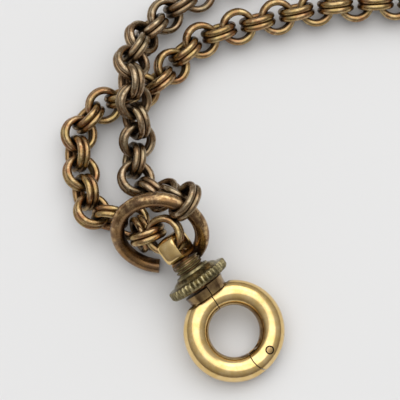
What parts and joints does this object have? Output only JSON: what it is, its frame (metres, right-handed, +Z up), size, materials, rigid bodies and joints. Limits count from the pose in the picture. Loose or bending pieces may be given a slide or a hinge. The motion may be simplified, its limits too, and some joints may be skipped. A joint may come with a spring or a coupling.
{
  "type": "pocket watch chain",
  "caption": "Pocket watch chain of double-ring links laid in two strands, with an open jump ring and a swivel clasp whose hinged gate is locked by a knurled nut.",
  "frame": {"origin": "centre of the bounding box on the table plane", "axes": "+Z up from the table; +Y from the clasp towards the fold, along the longest side"},
  "size_m": [0.0814, 0.1148, 0.0141],
  "materials": {
    "antique_brass": "antiqued gilt brass, dark in the crevices, worn bright on the high edges",
    "greyed_brass": "greyed antiqued brass, worn edges",
    "aged_bronze": "brown patinated bronze tone with rubbed golden patches",
    "polished_gold": "polished gold-filled metal with fine wear scratches",
    "green_brass": "knurled olive brass with bright tooth crests",
    "pin_metal": "dull pin end"
  },
  "bodies": {
    "chain_hub": {"hub_link": "greyed_brass", "clasp_link": "antique_brass"},
    "bail": {"swivel_bail": "polished_gold"},
    "clasp_body": {"clasp_fixed_half": "polished_gold", "gate_pin": "pin_metal"},
    "gate": {"clasp_gate": "polished_gold"},
    "nut": {"lock_nut": "green_brass"},
    "ring_loop": {"ring_link": "greyed_brass"},
    "ring": {"jump_ring": "aged_bronze"},
    "right_01": {"right_link_01": "greyed_brass"},
    "right_02": {"right_link_02": "greyed_brass"},
    "right_03": {"right_link_03": "greyed_brass"},
    "right_04": {"right_link_04": "greyed_brass"},
    "right_05": {"right_link_05": "greyed_brass"},
    "right_06": {"right_link_06": "greyed_brass"},
    "right_07": {"right_link_07": "greyed_brass"},
    "right_08": {"right_link_08": "greyed_brass"},
    "right_09": {"right_link_09": "greyed_brass"},
    "right_10": {"right_link_10": "greyed_brass"},
    "right_11": {"right_link_11": "greyed_brass"},
    "right_12": {"right_link_12": "greyed_brass"},
    "right_13": {"right_link_13": "greyed_brass"},
    "right_14": {"right_link_14": "greyed_brass"},
    "right_15": {"right_link_15": "greyed_brass"},
    "left_01": {"left_link_01": "antique_brass"},
    "left_02": {"left_link_02": "antique_brass"},
    "left_03": {"left_link_03": "antique_brass"},
    "left_04": {"left_link_04": "antique_brass"},
    "left_05": {"left_link_05": "antique_brass"},
    "left_06": {"left_link_06": "antique_brass"},
    "left_07": {"left_link_07": "antique_brass"},
    "left_08": {"left_link_08": "antique_brass"},
    "left_09": {"left_link_09": "antique_brass"},
    "left_10": {"left_link_10": "antique_brass"},
    "left_11": {"left_link_11": "antique_brass"},
    "left_12": {"left_link_12": "antique_brass"},
    "left_13": {"left_link_13": "antique_brass"},
    "left_14": {"left_link_14": "antique_brass"},
    "left_15": {"left_link_15": "antique_brass"},
    "left_16": {"left_link_16": "antique_brass"},
    "left_17": {"left_link_17": "antique_brass"},
    "left_18": {"left_link_18": "antique_brass"},
    "left_19": {"left_link_19": "antique_brass"},
    "left_20": {"left_link_20": "antique_brass"},
    "left_21": {"left_link_21": "antique_brass"},
    "left_22": {"left_link_22": "antique_brass"},
    "left_23": {"left_link_23": "antique_brass"},
    "left_24": {"left_link_24": "antique_brass"},
    "left_25": {"left_link_25": "antique_brass"},
    "left_26": {"left_link_26": "antique_brass"},
    "left_27": {"left_link_27": "antique_brass"},
    "left_28": {"left_link_28": "antique_brass"},
    "stored": {"stored_chain": "antique_brass"}
  },
  "joints": [
    {"name": "bail_swing", "type": "hinge", "parent": "chain_hub", "child": "bail", "pos_m": [-0.02237, -0.03748, 0.00806], "axis": [-0.7474, -0.3666, -0.554], "range_deg": [0, 54]},
    {"name": "clasp_nut_travel", "type": "slide", "parent": "clasp_body", "child": "nut", "axis": [-0.5732, 0.7775, 0.2588], "range_m": [0, 0.0008]},
    {"name": "clasp_swivel", "type": "hinge", "parent": "bail", "child": "clasp_body", "pos_m": [-0.02106, -0.03869, 0.00718], "axis": [-0.5732, 0.7775, 0.2588], "continuous": true},
    {"name": "gate_hinge", "type": "hinge", "parent": "clasp_body", "child": "gate", "pos_m": [-0.00785, -0.05224, 0.00216], "axis": [0.1536, -0.2083, 0.9659], "range_deg": [0, 54]},
    {"name": "jump_ring_turn", "type": "hinge", "parent": "ring_loop", "child": "ring", "pos_m": [-0.02466, -0.03472, 0.0068], "axis": [-0.0802, -0.7908, 0.6068], "range_deg": [-90, 54]},
    {"name": "ring_link_swing", "type": "hinge", "parent": "chain_hub", "child": "ring_loop", "pos_m": [-0.02118, -0.03022, 0.00997], "axis": [-0.7913, 0.3506, 0.5009], "range_deg": [-2.2, 5.6]},
    {"name": "right_swing_01", "type": "hinge", "parent": "chain_hub", "child": "right_01", "pos_m": [-0.02366, -0.02812, 0.00628], "axis": [0.5812, -0.501, -0.6413], "range_deg": [-1.9, 18]},
    {"name": "right_swing_02", "type": "hinge", "parent": "right_01", "child": "right_02", "pos_m": [-0.02563, -0.02768, 0.00409], "axis": [0.64, 0.73, -0.24], "range_deg": [-1.2, 16.8]},
    {"name": "right_swing_03", "type": "hinge", "parent": "right_02", "child": "right_03", "pos_m": [-0.02802, -0.02572, 0.00378], "axis": [-0.379, -0.1197, -0.9176], "range_deg": [-8.8, 2.2]},
    {"name": "right_swing_04", "type": "hinge", "parent": "right_03", "child": "right_04", "pos_m": [-0.02871, -0.02246, 0.00357], "axis": [0.911, -0.04, -0.4105], "range_deg": [-1.9, 18]},
    {"name": "right_swing_05", "type": "hinge", "parent": "right_04", "child": "right_05", "pos_m": [-0.02849, -0.0195, 0.00383], "axis": [0.4613, -0.4367, 0.7723], "range_deg": [-1.9, 18]},
    {"name": "right_swing_06", "type": "hinge", "parent": "right_05", "child": "right_06", "pos_m": [-0.02853, -0.01664, 0.00537], "axis": [-0.8271, -0.4061, 0.3885], "range_deg": [-4.4, 6.7]},
    {"name": "right_swing_07", "type": "hinge", "parent": "right_06", "child": "right_07", "pos_m": [-0.02886, -0.01399, 0.00725], "axis": [-0.5481, 0.4014, -0.7338], "range_deg": [-18, 4.5]},
    {"name": "right_swing_08", "type": "hinge", "parent": "right_07", "child": "right_08", "pos_m": [-0.02902, -0.01117, 0.00894], "axis": [0.8672, 0.1774, -0.4652], "range_deg": [-18, 7.8]},
    {"name": "right_swing_09", "type": "hinge", "parent": "right_08", "child": "right_09", "pos_m": [-0.02971, -0.00795, 0.0091], "axis": [0.4972, 0.2607, 0.8276], "range_deg": [-3.3, 18]},
    {"name": "right_swing_10", "type": "hinge", "parent": "right_09", "child": "right_10", "pos_m": [-0.02882, -0.00504, 0.00785], "axis": [-0.7736, 0.5019, 0.3868], "range_deg": [-18, 18]},
    {"name": "right_swing_11", "type": "hinge", "parent": "right_10", "child": "right_11", "pos_m": [-0.0282, -0.00246, 0.00597], "axis": [-0.6407, -0.1891, -0.7441], "range_deg": [-18, 3.3]},
    {"name": "right_swing_12", "type": "hinge", "parent": "right_11", "child": "right_12", "pos_m": [-0.02681, -0.00011, 0.00412], "axis": [0.5927, -0.6656, -0.4536], "range_deg": [-18, 18]},
    {"name": "right_swing_13", "type": "hinge", "parent": "right_12", "child": "right_13", "pos_m": [-0.02461, 0.00233, 0.0035], "axis": [0.4217, -0.2596, 0.8688], "range_deg": [-4.5, 18]},
    {"name": "right_swing_14", "type": "hinge", "parent": "right_13", "child": "right_14", "pos_m": [-0.02226, 0.00452, 0.00291], "axis": [-0.5082, 0.7156, 0.4793], "range_deg": [-18, 18]},
    {"name": "right_swing_15", "type": "hinge", "parent": "right_14", "child": "right_15", "pos_m": [-0.01953, 0.00639, 0.00307], "axis": [-0.2243, 0.4237, -0.8776], "range_deg": [-18, 5.6]},
    {"name": "stored_swing", "type": "hinge", "parent": "right_15", "child": "stored", "pos_m": [-0.01664, 0.00797, 0.00306], "axis": [0, 0, 1], "range_deg": [-4.5, 22.5]},
    {"name": "left_swing_01", "type": "hinge", "parent": "chain_hub", "child": "left_01", "pos_m": [-0.02632, -0.03518, 0.0075], "axis": [-0.3409, 0.8722, 0.3509], "range_deg": [-4.4, 5.6]},
    {"name": "left_swing_02", "type": "hinge", "parent": "left_01", "child": "left_02", "pos_m": [-0.02724, -0.03429, 0.00455], "axis": [-0.9005, -0.4002, 0.1701], "range_deg": [-0.5, 18]},
    {"name": "left_swing_03", "type": "hinge", "parent": "left_02", "child": "left_03", "pos_m": [-0.0286, -0.03186, 0.00292], "axis": [-0.0498, -0.0697, -0.9963], "range_deg": [-1.2, 11.2]},
    {"name": "left_swing_04", "type": "hinge", "parent": "left_03", "child": "left_04", "pos_m": [-0.0318, -0.03144, 0.00302], "axis": [0.1402, 0.9717, -0.1903], "range_deg": [-4.4, 13.5]},
    {"name": "left_swing_05", "type": "hinge", "parent": "left_04", "child": "left_05", "pos_m": [-0.03512, -0.03088, 0.00351], "axis": [0.36, 0.28, 0.89], "range_deg": [-7.3, 2.2]},
    {"name": "left_swing_06", "type": "hinge", "parent": "left_05", "child": "left_06", "pos_m": [-0.03633, -0.02795, 0.00307], "axis": [-0.8469, -0.2301, 0.4794], "range_deg": [-1.9, 5.6]},
    {"name": "left_swing_07", "type": "hinge", "parent": "left_06", "child": "left_07", "pos_m": [-0.03724, -0.02462, 0.00302], "axis": [-0.4663, -0.1113, -0.8776], "range_deg": [-1.2, 5.6]},
    {"name": "left_swing_08", "type": "hinge", "parent": "left_07", "child": "left_08", "pos_m": [-0.03789, -0.02138, 0.00295], "axis": [0.8702, 0.1138, -0.4794], "range_deg": [-2.5, 3.3]},
    {"name": "left_swing_09", "type": "hinge", "parent": "left_08", "child": "left_09", "pos_m": [-0.03822, -0.01812, 0.0032], "axis": [0.4648, -0.1174, 0.8776], "range_deg": [-2.5, 2.2]},
    {"name": "left_swing_10", "type": "hinge", "parent": "left_09", "child": "left_10", "pos_m": [-0.03679, -0.01512, 0.00276], "axis": [-0.6701, 0.5666, 0.4794], "range_deg": [-3.8, 18]},
    {"name": "left_swing_11", "type": "hinge", "parent": "left_10", "child": "left_11", "pos_m": [-0.03468, -0.01272, 0.00318], "axis": [-0.2448, 0.4122, -0.8776], "range_deg": [-3.3, 12.3]},
    {"name": "left_swing_12", "type": "hinge", "parent": "left_11", "child": "left_12", "pos_m": [-0.03165, -0.01136, 0.0029], "axis": [0.2895, -0.8284, -0.4794], "range_deg": [-18, 18]},
    {"name": "left_swing_13", "type": "hinge", "parent": "left_12", "child": "left_13", "pos_m": [-0.02856, -0.01025, 0.00297], "axis": [0.1811, -0.4439, 0.8776], "range_deg": [-18, 4.5]},
    {"name": "left_swing_14", "type": "hinge", "parent": "left_13", "child": "left_14", "pos_m": [-0.02566, -0.0087, 0.00316], "axis": [-0.5653, 0.6712, 0.4794], "range_deg": [-18, 18]},
    {"name": "left_swing_15", "type": "hinge", "parent": "left_14", "child": "left_15", "pos_m": [-0.0232, -0.00656, 0.00285], "axis": [-0.4013, 0.2623, -0.8776], "range_deg": [-4.5, 18]},
    {"name": "left_swing_16", "type": "hinge", "parent": "left_15", "child": "left_16", "pos_m": [-0.02135, -0.00383, 0.00288], "axis": [0.6097, -0.6312, -0.4794], "range_deg": [-18, 18]},
    {"name": "left_swing_17", "type": "hinge", "parent": "left_16", "child": "left_17", "pos_m": [-0.01897, -0.00159, 0.00312], "axis": [0.2446, -0.4123, 0.8776], "range_deg": [-18, 5.6]},
    {"name": "left_swing_18", "type": "hinge", "parent": "left_17", "child": "left_18", "pos_m": [-0.01597, -0.00018, 0.0029], "axis": [-0.2986, 0.8252, 0.4794], "range_deg": [-18, 18]},
    {"name": "left_swing_19", "type": "hinge", "parent": "left_18", "child": "left_19", "pos_m": [-0.01289, 0.00093, 0.00305], "axis": [-0.1235, 0.4633, -0.8776], "range_deg": [-6.7, 18]},
    {"name": "left_swing_20", "type": "hinge", "parent": "left_19", "child": "left_20", "pos_m": [-0.00969, 0.00175, 0.00301], "axis": [0.2379, -0.8447, -0.4794], "range_deg": [-18, 18]},
    {"name": "left_swing_21", "type": "hinge", "parent": "left_20", "child": "left_21", "pos_m": [-0.00651, 0.00264, 0.003], "axis": [0.1259, -0.4626, 0.8776], "range_deg": [-18, 9]},
    {"name": "left_swing_22", "type": "hinge", "parent": "left_21", "child": "left_22", "pos_m": [-0.00332, 0.00348, 0.00299], "axis": [-0.2077, 0.8527, 0.4794], "range_deg": [-18, 18]},
    {"name": "left_swing_23", "type": "hinge", "parent": "left_22", "child": "left_23", "pos_m": [-0.00011, 0.00424, 0.00304], "axis": [-0.0774, 0.4731, -0.8776], "range_deg": [-12.3, 18]},
    {"name": "left_swing_24", "type": "hinge", "parent": "left_23", "child": "left_24", "pos_m": [0.00316, 0.00469, 0.00298], "axis": [0.1039, -0.8714, -0.4794], "range_deg": [-18, 18]},
    {"name": "left_swing_25", "type": "hinge", "parent": "left_24", "child": "left_25", "pos_m": [0.00644, 0.00508, 0.00301], "axis": [0.046, -0.4772, 0.8776], "range_deg": [-18, 18]},
    {"name": "left_swing_26", "type": "hinge", "parent": "left_25", "child": "left_26", "pos_m": [0.00973, 0.00534, 0.00298], "axis": [-0.0519, 0.876, 0.4794], "range_deg": [-18, 18]},
    {"name": "left_swing_27", "type": "hinge", "parent": "left_26", "child": "left_27", "pos_m": [0.01302, 0.00553, 0.00303], "axis": [0.0007, 0.4794, -0.8776], "range_deg": [-18, 18]},
    {"name": "left_swing_28", "type": "hinge", "parent": "left_27", "child": "left_28", "pos_m": [0.01632, 0.00549, 0.003], "axis": [0.0017, -0.8776, -0.4794], "range_deg": [-18, 18]}
  ]
}
